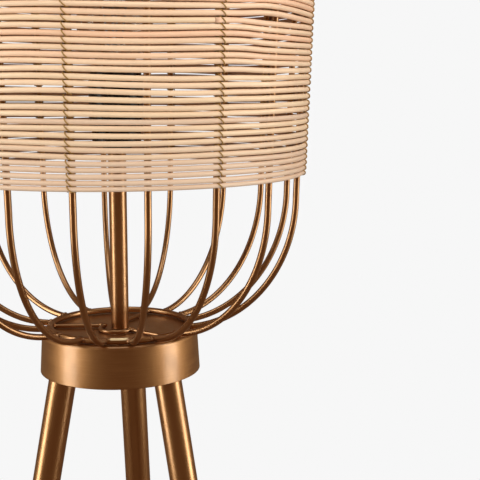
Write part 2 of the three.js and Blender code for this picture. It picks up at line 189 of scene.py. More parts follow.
def rattan_finish():
    """Peeled cane: a tint for each length, fine fibres, slow changes of tone, a few scars, dark ends, and
    painted shade on the side of each cane that faces the lamp's axis.
    """
    look = Look("rattan", Specular_IOR_Level=0.35)
    ramp = look.tree.nodes.new("ShaderNodeValToRGB")
    look.feed(ramp.inputs["Fac"], look.add("Attribute", {}, attribute_name="tint"))
    elements = ramp.color_ramp.elements
    elements[0].position = CANE_TONES[0][0]
    elements[1].position = CANE_TONES[-1][0]
    for place, _ in CANE_TONES[1:-1]:
        elements.new(place)
    for element, (_, tone) in zip(elements, CANE_TONES):
        element.color = (*tone, 1)
    slow = look.noise(look.grain_place(14, 70), 1.0, 2.0)
    fibres = look.noise(look.grain_place(45, 3200), 1.0, 3.0)
    scars = look.noise(look.grain_place(160, 420), 1.0, 2.0)
    coat = look.mix(look.spread(slow, 0.0, 0.5), ramp.outputs["Color"], (0.74, 0.46, 0.28, 1))
    coat = look.mix(look.spread(fibres, 0.0, 0.35), coat, (0.50, 0.31, 0.18, 1))
    coat = look.mix(look.spread(scars, 0.0, 0.85, 0.74, 0.80), coat, (0.30, 0.11, 0.06, 1))
    # painted shade: the side of each cane that faces the lamp's axis is darkened to brown, standing in for
    # the unlit inside of the shade
    girth = look.tree.nodes.new("ShaderNodeSeparateXYZ")
    look.feed(girth.inputs[0], look.grain_place(1, 1 / CANE))
    inside_painted_shade = look.spread(look.math("COSINE", girth.outputs["Y"], 0.0), 0.9, 0.0, -0.6, 0.1)
    coat = look.mix(inside_painted_shade, coat, (0.42, 0.24, 0.14, 1), "MULTIPLY")
    look.paint("Base Color", coat)
    look.paint("Roughness", look.spread(fibres, 0.42, 0.58))
    look.paint("Normal", look.bump(fibres, 0.00006, 0.6))
    return look.material


def thread_finish():
    """Waxed linen thread: golden brown, with the slant of its twisted plies in its bump and as painted
    light and shade in its colour.
    """
    look = Look("thread", Roughness=0.6, Specular_IOR_Level=0.4)
    waves = look.tree.nodes.new("ShaderNodeTexWave")
    waves.bands_direction = "DIAGONAL"
    look.feed(waves.inputs["Vector"], look.grain_place(1900, 1250))
    waves.inputs["Scale"].default_value = 0.5
    waves.inputs["Distortion"].default_value = 1.5
    plies_with_painted_shade = waves.outputs["Fac"]
    # painted light and shade: the plies' bands run from dark brown in their grooves to golden on their
    # crowns
    look.paint("Base Color", look.mix(plies_with_painted_shade, (0.15, 0.065, 0.015, 1), (0.58, 0.33, 0.09, 1)))
    look.paint("Normal", look.bump(plies_with_painted_shade, 0.0001, 0.8))
    return look.material


def glass_finish():
    look = Look("clear_glass", Roughness=0.0, IOR=1.46, Transmission_Weight=1.0)
    dust = look.noise(look.object_place(), 90.0, 3.0)
    look.paint("Roughness", look.spread(dust, 0.0, 0.03))
    look.paint("Base Color", look.mix(look.spread(dust, 0, 1), (0.97, 0.98, 0.975, 1), (1, 1, 1, 1)))
    return look.material


LACQUER = {"Coat_Weight": 0.95, "Coat_Roughness": 0.25}
BRASS_LIGHT = (0.50, 0.235, 0.085)
BRASS_DARK = (0.36, 0.15, 0.045)
# painted highlight: pale, half-metallic brass for the bright strip on the lower hoop
PAINTED_HIGHLIGHT_BRASS = {"Metallic": 0.3, "Coat_Weight": 0.5, "Coat_Roughness": 0.2}
BLACK_LIGHT = (0.022, 0.021, 0.020)
BLACK_DARK = (0.011, 0.010, 0.010)
looks = {
    "brushed_brass": brushed_metal("brushed_brass", BRASS_LIGHT, BRASS_DARK, 0.34, **LACQUER),
    "spun_brass": brushed_metal("spun_brass", BRASS_LIGHT, BRASS_DARK, 0.45, 4.0, 900, **LACQUER),
    "painted_highlight_brass": brushed_metal("painted_highlight_brass", (0.90, 0.72, 0.42), (0.70, 0.48, 0.22), 0.3, **PAINTED_HIGHLIGHT_BRASS),
    "weld": brushed_metal("brass_weld", (0.46, 0.21, 0.08), (0.25, 0.11, 0.04), 0.4, 4.0, **LACQUER),
    "plain_steel": brushed_metal("plain_steel", (0.62, 0.62, 0.60), (0.38, 0.38, 0.37), 0.38),
    "nickel": brushed_metal("nickel", (0.74, 0.71, 0.66), (0.55, 0.52, 0.47), 0.22),
    "filament": brushed_metal("filament", (0.35, 0.34, 0.33), (0.16, 0.16, 0.16), 0.4),
    "black_plastic": plain_finish("black_plastic", BLACK_LIGHT, BLACK_DARK, 0.26, 70, 0.00001),
    "black_rubber": plain_finish("black_rubber", BLACK_LIGHT, BLACK_DARK, 0.62, 120, 0.00005),
    "ceramic": plain_finish("ceramic", (0.80, 0.78, 0.73), (0.68, 0.65, 0.58), 0.35, 90, 0.00002),
    "lead_sheath": plain_finish("lead_sheath", (0.035, 0.035, 0.035), BLACK_LIGHT, 0.45, 100, 0.00002),
    "clear_glass": glass_finish(),
    "rattan": rattan_finish(),
    "thread": thread_finish(),
}

# ---------------------------------------------------------------- shapes

EASE_STEPS = 5
BEAD_ROUGHNESS = 0.16
BEAD_SIDES = 14
BEAD_ROWS = 9
ROD_SIDES = 20


class Shape:
    """Collects closed bodies made of rings of points, and turns them into one piece."""

    def __init__(self):
        self.points = []
        self.faces = []
        self.grain = []
        self.tints = []

    def skin(self, rings, spacing, girth, loop=False, tint=0.5, across=False):
        """Skins rings of equal count; spacing is each ring's place along the body, in metres.
        The grain runs along the body, or round it if across is true. A list of tints has one
        for each ring."""
        first = len(self.points)
        count = len(rings[0])
        tints = tint if isinstance(tint, list) else [tint] * len(rings)
        for ring, level in zip(rings, tints):
            self.points.extend(ring)
            self.tints.extend([level] * count)
        places = list(spacing)
        if loop:
            places.append(2 * places[-1] - places[-2])

        def place(i, k):
            spot = (places[i], girth * k / count)
            return spot[::-1] if across else spot

        for i in range(len(rings) if loop else len(rings) - 1):
            j = (i + 1) % len(rings)
            for k in range(count):
                n = (k + 1) % count
                corners = ((i, k), (i, n), (j, n), (j, k))
                self.faces.append(tuple(first + row * count + column for row, column in corners))
                self.grain.extend((place(i, k), place(i, k + 1), place(i + 1, k + 1), place(i + 1, k)))
        if not loop:
            for i in (0, len(rings) - 1):
                middle = len(self.points)
                self.points.append(sum(rings[i], Vector()) / count)
                self.tints.append(tints[i])
                start = first + i * count
                for k in range(count):
                    self.faces.append((start + k, start + (k + 1) % count, middle))
                    self.grain.extend((place(i, k), place(i, k + 1), place(i, k + 0.5)))

    def piece(self, name, look, body="stand", slot=None, replaces=(), sharp=35):
        mesh = bpy.data.meshes.new(name)
        mesh.from_pydata(self.points, [], self.faces)
        layer = mesh.uv_layers.new(name="grain")
        layer.data.foreach_set("uv", [number for spot in self.grain for number in spot])
        tints = mesh.attributes.new("tint", "FLOAT", "POINT")
        tints.data.foreach_set("value", self.tints)
        tidy = bmesh.new()
        tidy.from_mesh(mesh)
        bmesh.ops.recalc_face_normals(tidy, faces=tidy.faces)
        tidy.to_mesh(mesh)
        tidy.free()
        mesh.shade_smooth()
        mesh.set_sharp_from_angle(angle=math.radians(sharp))
        mesh.materials.append(looks[look])
        made = bpy.data.objects.new(name, mesh)
        bpy.context.scene.collection.objects.link(made)
        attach(made, body)
        if replaces:
            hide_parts(*replaces)


def bearing(angle):
    """Unit direction at a bearing from -Y towards +X."""
    return Vector((math.sin(angle), -math.cos(angle), 0))


def lengths(points):
    """Distance along a chain of points to each of them."""
    total = [0.0]
    for before, after in zip(points, points[1:]):
        total.append(total[-1] + (after - before).length)
    return total


def eased(corners, loop=True):
    """Outline with each (radius, height, ease) corner turned into a soft curve."""
    flat = [(Vector((radius, height)), ease) for radius, height, ease in corners]
    outline = []
    for i, (corner, ease) in enumerate(flat):
        if ease == 0 or (not loop and i in (0, len(flat) - 1)):
            outline.append(corner)
            continue
        ends = []
        for other in (flat[i - 1][0], flat[(i + 1) % len(flat)][0]):
            reach = other - corner
            ends.append(corner + reach * min(ease / reach.length, 0.48))
        for step in range(EASE_STEPS + 1):
            t = step / EASE_STEPS
            outline.append(ends[0] * (1 - t) ** 2 + corner * 2 * t * (1 - t) + ends[1] * t ** 2)
    return outline


def lathe(shape, outline, centre, sides, loop=True):
    """Turns an outline of (radius, height) points about a vertical axis. Grain runs round it."""
    rings = []
    for radius, height in outline:
        middle = centre + Vector((0, 0, height))
        rings.append([middle + bearing(TURN * k / sides) * radius for k in range(sides)])
    widest = max(point[0] for point in outline)
    shape.skin(rings, lengths(outline), TURN * widest, loop, across=True)


def round_section(middle, side, up, radius, sides):
    """Points of a circle about a middle, from side towards up."""
    turns = [TURN * k / sides for k in range(sides)]
    return [middle + (side * math.cos(turn) + up * math.sin(turn)) * radius for turn in turns]


def hoop(shape, centre, radius, rod_radius, sides, steps):
    """A ring of round rod, flat in the horizontal plane."""
    rings = []
    for step in range(steps):
        out = bearing(TURN * step / steps)
        rings.append(round_section(centre + out * radius, out, UP, rod_radius, sides))
    spacing = [TURN * radius * step / steps for step in range(steps)]
    shape.skin(rings, spacing, TURN * rod_radius, loop=True)


def arc_path(centre, radius, start, end, steps):
    """Points of a level arc from one bearing to another, in radians."""
    turns = [start + (end - start) * step / steps for step in range(steps + 1)]
    return [centre + bearing(turn) * radius for turn in turns]


def rod(shape, path, radius, sides, end_ease=0.3):
    """A round bar along a path, with its two ends slightly rounded."""
    last = len(path) - 1
    chain = lengths(path)
    side = (path[1] - path[0]).orthogonal().normalized()
    rings = []
    places = []
    for i, point in enumerate(path):
        tangent = (path[min(i + 1, last)] - path[max(i - 1, 0)]).normalized()
        side = (side - tangent * side.dot(tangent)).normalized()
        spans = [(0.0, radius)]
        if i == 0:
            spans = [(0.0, radius * (1 - end_ease)), (radius * end_ease, radius)]
        if i == last:
            spans = [(-radius * end_ease, radius), (0.0, radius * (1 - end_ease))]
        for shift, size in spans:
            middle = point + tangent * shift
            rings.append(round_section(middle, side, tangent.cross(side), size, sides))
            places.append(chain[i] + shift)
    shape.skin(rings, places, TURN * radius)


def lump(shape, centre, axes, sizes):
    """An uneven bead of weld: a ball stretched along three axes with a rippled skin."""
    phases = [draw.uniform(0, TURN) for _ in range(3)]
    rings = []
    for row in range(1, BEAD_ROWS):
        polar = math.pi * row / BEAD_ROWS
        ring = []
        for k in range(BEAD_SIDES):
            turn = TURN * k / BEAD_SIDES
            swell = math.sin(3 * turn + phases[0]) * math.sin(2 * polar + phases[1])
            swell += 0.6 * math.sin(5 * polar + phases[2])
            ripple = 1 + BEAD_ROUGHNESS * swell
            around = (math.cos(turn) * math.sin(polar), math.sin(turn) * math.sin(polar))
            point = Vector(centre)
            for axis, size, part in zip(axes, sizes, (math.cos(polar), *around)):
                point += axis * size * part * ripple
            ring.append(point)
        rings.append(ring)
    shape.skin(rings, lengths([ring[0] for ring in rings]), TURN * sizes[1])


# ---------------------------------------------------------------- collar

COLLAR_DRAFT = 2.0 * MM
COLLAR_SHEET = 1.5 * MM
COLLAR_EDGE = 3.4 * MM
COLLAR_HOLE = 5.15 * MM
COLLAR_SIDES = 192


def make_collar():
    depth = collar_high.z - collar_low.z
    top_radius = COLLAR_FOOT_RADIUS - COLLAR_DRAFT
    outline = eased((
        (COLLAR_HOLE, 0, 0.3 * MM),
        (top_radius, 0, COLLAR_EDGE),
        (COLLAR_FOOT_RADIUS, -depth, 0.5 * MM),
        (COLLAR_FOOT_RADIUS - COLLAR_SHEET, -depth, 0.5 * MM),
        (top_radius - COLLAR_SHEET, -COLLAR_SHEET, 2.0 * MM),
        (COLLAR_HOLE, -COLLAR_SHEET, 0.3 * MM),
    ))
    shape = Shape()
    lathe(shape, outline, AXIS + UP * COLLAR_TOP, COLLAR_SIDES)
    shape.piece("collar", "spun_brass", slot="brushed_brass", replaces=("collar_shell",))


# ---------------------------------------------------------------- legs and feet

LEG_RADIUS = 11 * MM
LEG_BORE = 9.8 * MM
LEG_SIDES = 64
BOOT_RADIUS = 13 * MM
BOOT_LENGTH = 26 * MM
BOOT_WALL = 1.9 * MM
BOOT_FLOOR = 4.0 * MM
LEG_END = 12 * MM


def ends_of(node):
    """Middle of a slanted bar at its lowest and at its highest vertices."""
    corners = [vertex.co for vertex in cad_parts[node].data.vertices]
    low = min(corner.z for corner in corners)
    high = max(corner.z for corner in corners)
    ends = []
    lower = [corner for corner in corners if corner.z < low + LEG_END]
    upper = [corner for corner in corners if corner.z > high - LEG_END]
    for group in (lower, upper):
        ends.append(sum(group, Vector()) / len(group))
    return ends


def make_leg(number):
    foot, top = ends_of(f"leg_{number}")
    lean = (top - foot).normalized()
    shape = Shape()
    side = lean.orthogonal().normalized()
    up = lean.cross(side)
    length = (top - foot).length
    ease = 0.4 * MM
    outline = eased((
        (LEG_RADIUS, 0, ease), (LEG_RADIUS, length, ease), (LEG_BORE, length, ease), (LEG_BORE, 0, ease),
    ))
    rings = [round_section(foot + lean * place, side, up, radius, LEG_SIDES) for radius, place in outline]
    shape.skin(rings, lengths(outline), TURN * LEG_RADIUS, loop=True)
    shape.piece(f"leg_tube_{number}", "brushed_brass", slot="brushed_brass", replaces=(f"leg_{number}",))
    make_boot(number, foot, lean, side, up)


def make_boot(number, foot, lean, side, up):
    """Rubber boot: a sleeve square to the leg at its top, and level where it stands on the floor."""
    name = f"leg_foot_{number}"
    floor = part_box(name)[0].z
    base = foot - lean * ((foot.z - floor) / lean.z)
    ease = 1.4 * MM
    inner = BOOT_RADIUS - BOOT_WALL
    outline = eased((
        (0.2 * MM, 0, 0), (BOOT_RADIUS, 0, ease), (BOOT_RADIUS, BOOT_LENGTH, ease),
        (inner, BOOT_LENGTH, 0.5 * MM), (inner, BOOT_FLOOR, 0.5 * MM), (0.2 * MM, BOOT_FLOOR, 0),
    ), loop=False)
    rings = []
    for radius, place in outline:
        level = max(0.0, 1 - place / BOOT_FLOOR)
        ring = []
        for out in round_section(Vector(), side, up, radius, LEG_SIDES):
            drop = -out.z / lean.z
            ring.append(base + out + lean * (place + drop * level))
        rings.append(ring)
    shape = Shape()
    shape.skin(rings, lengths(outline), TURN * BOOT_RADIUS)
    shape.piece(f"rubber_boot_{number}", "black_rubber", slot="black_rubber", replaces=(name,))


# ---------------------------------------------------------------- stem and lamp holder

TURNED_SIDES = 96
HOLDER_BORE = 5.3 * MM
HOLDER_NECK = 11.5 * MM
HOLDER_CAP = 19.3 * MM
HOLDER_LIP = 18.3 * MM
HOLDER_CAP_INSIDE = 16.5 * MM
SKIRT_MOUTH = 18.5 * MM
SKIRT_INSIDE = 17.8 * MM
SKIRT_RIBS = 4
RIB_DEPTH = 0.7 * MM


def turned(name, corners, look, replaces, body="stand", sides=TURNED_SIDES, loop=True):
    """A turned piece on the lamp's axis; heights are above the collar's top."""
    shape = Shape()
    lathe(shape, eased(corners, loop), AXIS + UP * COLLAR_TOP, sides, loop)
    shape.piece(name, look, body, look, replaces)


def make_stem():
    low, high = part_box("stem_tube")
    radius = (high.x - low.x) / 2
    bottom = low.z - COLLAR_TOP
    top = high.z - COLLAR_TOP
    shape = Shape()
    ease = 0.5 * MM
    outline = eased((
        (radius, bottom, ease), (radius, top, ease),
        (COLLAR_HOLE, top, 0.2 * MM), (COLLAR_HOLE, bottom, 0.2 * MM),
    ))
    rings = []
    for size, height in outline:
        middle = AXIS + UP * (COLLAR_TOP + height)
        rings.append([middle + bearing(TURN * k / TURNED_SIDES) * size for k in range(TURNED_SIDES)])
    shape.skin(rings, lengths(outline), TURN * radius, loop=True)
    shape.piece("stem", "brushed_brass", slot="brushed_brass", replaces=("stem_tube",))


def make_holder():
    ease = 1.2 * MM
    low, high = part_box("holder_cap")
    bottom = low.z - COLLAR_TOP
    top = high.z - COLLAR_TOP
    turned("holder_cap_shell", (
        (HOLDER_BORE, bottom, 0.3 * MM), (HOLDER_NECK, bottom, ease),
        (HOLDER_NECK, bottom + 4.6 * MM, ease), (HOLDER_CAP, bottom + 6.4 * MM, 1.6 * MM),
        (HOLDER_CAP, bottom + 16.6 * MM, 0.8 * MM), (HOLDER_LIP, bottom + 16.9 * MM, 0.3 * MM),
        (HOLDER_LIP, top, 0.4 * MM), (HOLDER_CAP_INSIDE, top, 0.4 * MM),
        (HOLDER_CAP_INSIDE, bottom + 8.7 * MM, 0.4 * MM), (HOLDER_BORE, bottom + 8.7 * MM, 0.3 * MM),
    ), "black_plastic", ("holder_cap",))
    low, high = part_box("holder_skirt")
    bottom = low.z - COLLAR_TOP
    top = high.z - COLLAR_TOP
    outer = (high.x - low.x) / 2
    corners = [
        (SKIRT_MOUTH, bottom, 0.3 * MM), (outer - 0.6 * MM, bottom, 0.6 * MM),
        (outer, bottom + 1.5 * MM, 0.4 * MM),
    ]
    for rib in range(SKIRT_RIBS):
        height = bottom + (3.5 + 3.2 * rib) * MM
        steps = ((0, 0), (RIB_DEPTH, 0.5), (RIB_DEPTH, 1.1), (0, 1.6))
        corners += [(outer - depth, height + rise * MM, 0.3 * MM) for depth, rise in steps]
    corners += [(outer, top - 8 * MM, 1.0 * MM), (outer - 1.2 * MM, top - 4 * MM, 1.5 * MM),
                (outer - 1.8 * MM, top, 1.0 * MM), (SKIRT_INSIDE, top, 0.5 * MM),
                (SKIRT_INSIDE, top - 12 * MM, 0.5 * MM), (SKIRT_MOUTH, top - 13 * MM, 0.5 * MM)]
    turned("holder_skirt_shell", corners, "black_plastic", ("holder_skirt",))


# ---------------------------------------------------------------- cage

ROD = 2.5 * MM
BOWL_CENTRE = 50 * MM
BOWL_REACH = 93 * MM
BOWL_RISE = 108 * MM
BOWL_FLOOR = 2.8 * MM
WIRE_GAP = 0.3 * MM
WIRE_LEAN = 0.04
BEND_STEPS = 48
STRAIGHT_STEPS = 12
WIRE_SIDES = 18
HOOP_SIDES = 24
HOOP_STEPS = 192
# how far each wire's bend hangs below the ellipse at its middle, in mm
WIRE_SAGS = (3.5, 0, 0, 0, 0, 0, 0, 0, 0, 0, 0, 1, 1, 4.5, 5.5, 6.5)
HUB_RADIUS = 13.2 * MM
# bearings of the hub rod's two ends, and of the painted highlight strip on the lower hoop, in degrees
HUB_ARC = (-122, 70)
HIGHLIGHT_STRIP_BEARINGS = (3, 19)
HUB_STEPS = 48
SPOKE_STEPS = 10
HIGHLIGHT_STRIP_RADIUS = 1.15 * MM
HIGHLIGHT_STRIP_SIDES = 16


def bearing_of(node, above):
    """Bearing of the part of a CAD node that lies above a height."""
    upper = [vertex.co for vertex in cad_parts[node].data.vertices if vertex.co.z > above]
    middle = sum(upper, Vector()) / len(upper) - AXIS
    return math.atan2(middle.x, -middle.y)


def ring_size(node):
    """(centre-line radius, rod radius, height of the middle) of a CAD hoop."""
    low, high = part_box(node)
    rod_radius = (high.z - low.z) / 2
    return (high.x - low.x) / 2 - rod_radius, rod_radius, (high.z + low.z) / 2


hoop_radius, hoop_rod, hoop_height = ring_size("bottom_hoop")
wire_bearings = [bearing_of(f"cage_wire_{number:02d}", shade_low.z) for number in range(1, 17)]


def wire_radius(height):
    """Distance of the straight part of a wire from the lamp's axis, at a height above the collar."""
    return BOWL_CENTRE + BOWL_REACH + WIRE_LEAN * (height - BOWL_FLOOR - BOWL_RISE)


def make_wires():
    first = math.asin((hoop_radius + hoop_rod + WIRE_GAP - BOWL_CENTRE) / BOWL_REACH)
    for number, (angle, sag) in enumerate(zip(wire_bearings, WIRE_SAGS), 1):
        node = f"cage_wire_{number:02d}"
        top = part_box(node)[1].z - COLLAR_TOP
        places = []
        for step in range(BEND_STEPS + 1):
            share = step / BEND_STEPS
            turn = first + (math.pi / 2 - first) * share
            height = BOWL_FLOOR + BOWL_RISE * (1 - math.cos(turn)) - sag * MM * math.sin(math.pi * share)
            places.append((BOWL_CENTRE + BOWL_REACH * math.sin(turn), height))
        bend_top = BOWL_FLOOR + BOWL_RISE
        for step in range(1, STRAIGHT_STEPS + 1):
            height = bend_top + (top - bend_top) * step / STRAIGHT_STEPS
            places.append((wire_radius(height), height))
        path = [AXIS + bearing(angle) * radius + UP * (COLLAR_TOP + height) for radius, height in places]
        shape = Shape()
        rod(shape, path, ROD, WIRE_SIDES)
        shape.piece(f"wire_{number:02d}", "brushed_brass", slot="brushed_brass", replaces=(node,))


def make_hoops():
    for name, node in (("lower_hoop", "bottom_hoop"), ("upper_hoop", "top_hoop")):
        radius, rod_radius, height = ring_size(node)
        shape = Shape()
        hoop(shape, AXIS + UP * height, radius, rod_radius, HOOP_SIDES, HOOP_STEPS)
        shape.piece(name, "brushed_brass", slot="brushed_brass", replaces=(node,))

    # painted highlight: a pale strip of half-metallic brass on the lower hoop's upper front edge, bright
    # under any light, standing in for a reflection there
    start, end = HIGHLIGHT_STRIP_BEARINGS
    centre = AXIS + UP * (hoop_height + 1.7 * MM)
    highlight_strip = arc_path(centre, hoop_radius + 1.1 * MM, math.radians(start), math.radians(end), HIGHLIGHT_STRIP_SIDES)
    shape = Shape()
    rod(shape, highlight_strip, HIGHLIGHT_STRIP_RADIUS, HIGHLIGHT_STRIP_SIDES, 0.4)
    shape.piece("hoop_painted_highlight", "painted_highlight_brass", slot="brushed_brass")


def hub_centre():
    """Middle of the hub's arc, and its rod's radius."""
    low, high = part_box("hub_ring")
    rod_radius = (high.z - low.z) / 2
    reach = HUB_RADIUS + rod_radius
    return Vector((low.x + reach, low.y + reach, (low.z + high.z) / 2)), rod_radius


def make_hub():
    """The open hub ring, the three spokes and the brazed beads that hold them together."""
    centre, rod_radius = hub_centre()
    start, end = HUB_ARC
    path = arc_path(centre, HUB_RADIUS, math.radians(start), math.radians(end), HUB_STEPS)
    shape = Shape()
    rod(shape, path, rod_radius, ROD_SIDES, 0.5)
    shape.piece("hub_rod", "brushed_brass", slot="brushed_brass", replaces=("hub_ring",))

    beads = Shape()
    for spot in (path[0], path[-1]):
        out = (spot - centre).normalized()
        lump(beads, spot + UP * 0.5 * MM, (out.cross(UP), out, UP), (2.6 * MM, 2.2 * MM, 2.0 * MM))
    for number in (1, 2, 3):
        node = f"spoke_{number}"
        corners = [vertex.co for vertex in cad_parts[node].data.vertices]
        spans = [Vector((corner.x - AXIS.x, corner.y - AXIS.y)).length for corner in corners]
        middle = (min(spans) + max(spans)) / 2
        near = [corner for corner, span in zip(corners, spans) if span < middle]
        far = [corner for corner, span in zip(corners, spans) if span > middle]
        inner = sum(near, Vector()) / len(near)
        outer = sum(far, Vector()) / len(far)
        along = (outer - inner).normalized()
        shape = Shape()
        line = [inner.lerp(outer, step / SPOKE_STEPS) for step in range(SPOKE_STEPS + 1)]
        rod(shape, line, rod_radius, ROD_SIDES)
        shape.piece(f"spoke_rod_{number}", "brushed_brass", slot="brushed_brass", replaces=(node,))
        for spot, size in ((inner, 1.9), (outer, 2.6)):
            sizes = (size * MM, 2.0 * MM, 1.9 * MM)
            lump(beads, spot + UP * 0.4 * MM, (along.cross(UP), along, UP), sizes)
    beads.piece("hub_beads", "brushed_brass", slot="brushed_brass", sharp=70)


def make_welds():
    """A bead where each wire's foot meets the lower hoop."""
    welds = Shape()
    for angle in wire_bearings:
        out = bearing(angle)
        across = out.cross(UP)
        shift = across * draw.uniform(-1.2, 1.2) * MM
        centre = AXIS + out * (hoop_radius + 1.9 * MM) + UP * (hoop_height + 0.9 * MM) + shift
        sizes = (draw.uniform(3.2, 4.8) * MM, draw.uniform(2.4, 3.0) * MM, draw.uniform(2.0, 2.5) * MM)
        lump(welds, centre, (across, out, UP), sizes)
    welds.piece("weld_beads", "weld", slot="brushed_brass", sharp=70)


# ---------------------------------------------------------------- rattan shade

CANES = 67
BOTTOM_CANE = 1.75 * MM
CANE_SIDES = 10
CANE_STEPS = 168
LAP_STEPS = 3
SHADE_LIFT = 0.4 * MM
WIRE_CLEARANCE = 0.15 * MM
WIDE_GAPS = (7, 10, 12, 13, 14, 16, 17)
# one cane's joint shows in front: its bearing, and the slot that opens above it
JOINT_CANE = 24
JOINT_BEARING = math.radians(36.2)
SLOT_BEARINGS = (math.radians(42), math.radians(54), math.radians(78))
SLOT_WIDTH = 2.4 * MM


def wobble(count, size):
    """A smooth random curve round the lamp, as a sum of a few waves."""
    waves = [(draw.randint(1, count), draw.uniform(0, TURN), draw.gauss(0, 1)) for _ in range(5)]
    scale = size / math.sqrt(2.5)

    def curve(angle):
        return scale * sum(height * math.sin(times * angle + phase) for times, phase, height in waves)

    return curve


def slot_width(angle):
    """Width of the slot above the joint: it opens quickly and closes slowly."""
    start, peak, end = SLOT_BEARINGS
    share = (angle - start) / (peak - start) if angle < peak else (end - angle) / (end - peak)
    share = max(0.0, min(1.0, share))
    return SLOT_WIDTH * share * share * (3 - 2 * share)


def cane_heights():
    """Each cane's radius, and its height at each step round the lamp. Canes and gaps vary; the
    stack's height doesn't."""
    sizes = [CANE * draw.uniform(0.95, 1.0) for _ in range(CANES)]
    sizes[0] = BOTTOM_CANE
    spare = (shade_high.z - shade_low.z) - SHADE_LIFT - 2 * sum(sizes)
    weights = []
    for number in range(CANES - 1):
        width = draw.uniform(1.6, 1.9) if number in WIDE_GAPS else draw.uniform(0.35, 1.35)
        weights.append((width * (0.8 if number < 3 else 1.0), wobble(6, 0.24)))
    steps = []
    for step in range(CANE_STEPS):
        angle = TURN * step / CANE_STEPS
        slot = slot_width(angle)
        gaps = [width * max(0.15, 1 + wave(angle)) for width, wave in weights]
        scale = (spare - slot) / sum(gaps)
        height = shade_low.z + SHADE_LIFT + sizes[0]
        column = [height]
        for number in range(CANES - 1):
            extra = slot if number == JOINT_CANE else 0
            height += sizes[number] + gaps[number] * scale + extra + sizes[number + 1]
            column.append(height)
        steps.append(column)
    return sizes, steps


def at_angle(steps, number, angle):
    """Height of a cane at a bearing, between the two nearest columns."""
    place = (angle / TURN) % 1 * CANE_STEPS
    before = int(place) % CANE_STEPS
    part = place - int(place)
    return steps[before][number] * (1 - part) + steps[(before + 1) % CANE_STEPS][number] * part


def cane_radius(height, size):
    """Distance from the lamp's axis to the middle of a cane that lies against the wires."""
    return wire_radius(height - COLLAR_TOP) + ROD + WIRE_CLEARANCE + size


def cane_tints(number, turns):
    """Tint of a cane at each step: tan at the shade's bottom, peach higher up, dark brown ends."""
    share = number / (CANES - 1)
    middle = 0.36 + 0.8 * min(share, 0.4) + draw.gauss(0, 0.17)
    drift = draw.gauss(0, 0.14)
    if share < 0.25:
        middle -= 0.7 * (1 - share / 0.25)
    if number == JOINT_CANE:
        middle, drift = 0.5, -0.4
    tints = []
    for step in range(turns + 1):
        level = min(0.8, max(0.0, middle + drift * (step / turns - 0.5)))
        tints.append(1.0 if step in (0, turns) else level)
    return tints


def make_canes(sizes, steps):
    """Each cane is a hoop whose two tapered ends lap over one another."""
    shape = Shape()
    turns = CANE_STEPS + LAP_STEPS
    for number, size in enumerate(sizes):
        start = JOINT_BEARING if number == JOINT_CANE else draw.uniform(1.75, 4.5)
        wave = wobble(6, 0.12 * MM)
        rings = []
        places = []
        for step in range(turns + 1):
            angle = start + TURN * step / CANE_STEPS
            height = at_angle(steps, number, angle)
            out = bearing(angle)
            outer = min(1, step / LAP_STEPS)
            inner = min(1, (turns - step) / LAP_STEPS)
            depth = size * max(0.12, min(outer, inner) - 0.02)
            shift = (size - depth) if outer < 1 else -(size - depth)
            radius = cane_radius(height, size)
            middle = AXIS + out * (radius + wave(angle) + shift) + UP * height
            rings.append([
                middle + out * depth * math.cos(TURN * k / CANE_SIDES)
                + UP * size * math.sin(TURN * k / CANE_SIDES)
                for k in range(CANE_SIDES)
            ])
            places.append(number * 1.37 + radius * TURN * step / CANE_STEPS)
        shape.skin(rings, places, TURN * size, tint=cane_tints(number, turns))
    shape.piece("rattan_canes", "rattan", slot="rattan", replaces=("rattan_shade",), sharp=60)


# ---------------------------------------------------------------- sewing thread

THREAD = 0.48 * MM
THREAD_SIDES = 6
SEWN = range(1, 16, 2)


def make_thread(sizes, steps):
    """One thread down each second wire: a slanting stitch over each cane, then round the wire."""
    shape = Shape()
    for index in SEWN:
        angle = wire_bearings[index]
        path = []
        for number in reversed(range(CANES)):
            size = sizes[number]
            height = at_angle(steps, number, angle)
            radius = cane_radius(height, size)
            behind = wire_radius(height - COLLAR_TOP) - ROD - THREAD
            front = radius + size + THREAD * 0.7
            shoulder = radius + size * 0.82
            wrap = radius - size - 0.6 * MM
            left = -2.6 + draw.uniform(-0.4, 0.3)
            right = 0.7 + draw.uniform(-0.3, 0.4)
            below = -size - 0.2 * MM
            # (mm to the right of the wire, distance from the lamp's axis, height on the cane)
            stitch = (
                (left, radius + 0.3 * MM, size + 0.15 * MM),
                (left + 0.35, shoulder, size * 0.80),
                ((left * 2 + right) / 3, front, size * 0.33),
                ((left + right * 2) / 3, front, -size * 0.33),
                (right - 0.2, shoulder, -size * 0.80),
                (right + 0.2, radius, below),
                (2.5, radius - 0.6 * MM, below),
                (2.9, wrap, below),
                (2.4, behind + 1.2 * MM, below),
                (0.0, behind, below),
                (-2.4, behind + 1.2 * MM, below),
                (-3.0, wrap, below),
            )
            for side, place, rise in stitch:
                path.append(AXIS + bearing(angle + side * MM / place) * place + UP * (height + rise))
        rod(shape, path, THREAD, THREAD_SIDES)
    shape.piece("sewing_thread", "thread", sharp=80)


# ---------------------------------------------------------------- bulb

CAP_ROOT = 12.2 * MM
CAP_CREST = 13.15 * MM
CAP_RIM = 13.2 * MM
CAP_RIDGES = 5
TIP_SIDES = 48
GLASS_WALL = 0.8 * MM
GLASS_NECK = 12.3 * MM
GLASS_NECK_LENGTH = 14 * MM
GLASS_STEPS = 32
# angle from the ball's top to where the neck starts, in radians
GLASS_SHOULDER = 2.55
CENTRE_GAP = 0.2 * MM


